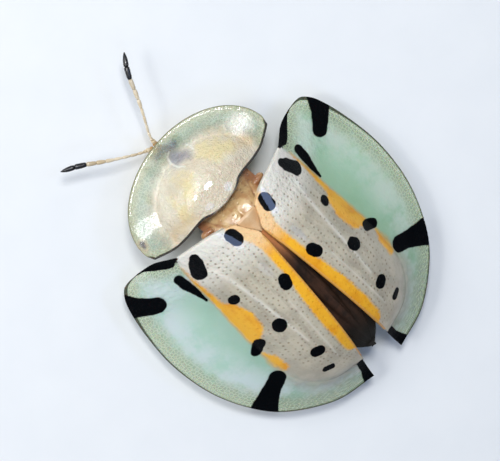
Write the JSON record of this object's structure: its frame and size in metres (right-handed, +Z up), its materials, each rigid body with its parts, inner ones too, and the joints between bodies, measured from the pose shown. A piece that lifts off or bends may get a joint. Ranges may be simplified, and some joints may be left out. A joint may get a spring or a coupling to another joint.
{
  "type": "sweet potato leaf beetle",
  "caption": "Still, life-size tortoise beetle with spotted cream wing cases ajar over folded wings, a clear-rimmed shield over its head, spread feelers and legs standing on the floor.",
  "frame": {"origin": "on the floor under the tip of the scutellum, the middle of the animal's length and width", "axes": "+Z up, -Y towards the head, +X towards the beetle's left"},
  "size_m": [0.0142, 0.0194, 0.0053],
  "materials": {
    "elytra_cuticle": "glossy, cream with black spots and orange bands, clear rim",
    "pronotum_cuticle": "glossy, cream disc with a clear greenish rim",
    "brown_cuticle": "glossy honey brown",
    "wing_membrane": "smoky brown membrane with darker veins",
    "pale_cuticle": "satin straw yellow",
    "dark_cuticle": "satin brown black",
    "eye_facets": "glossy black, finely faceted",
    "antenna_cuticle": "satin straw yellow, the last segments black"
  },
  "bodies": {
    "root": {"elytron_left": "elytra_cuticle", "elytron_right": "elytra_cuticle", "pronotum": "pronotum_cuticle", "mesonotum": "brown_cuticle", "scutellum": "elytra_cuticle", "hindwing_left": "wing_membrane", "hindwing_right": "wing_membrane", "prothorax": "pale_cuticle", "pterothorax": "dark_cuticle", "abdomen": "dark_cuticle", "head": "pale_cuticle", "eye_left": "eye_facets", "eye_right": "eye_facets", "antenna_left": "antenna_cuticle", "antenna_right": "antenna_cuticle", "leg_fore_left": "pale_cuticle", "leg_fore_right": "pale_cuticle", "leg_mid_left": "pale_cuticle", "leg_mid_right": "pale_cuticle", "leg_hind_left": "pale_cuticle", "leg_hind_right": "pale_cuticle"}
  },
  "joints": []
}
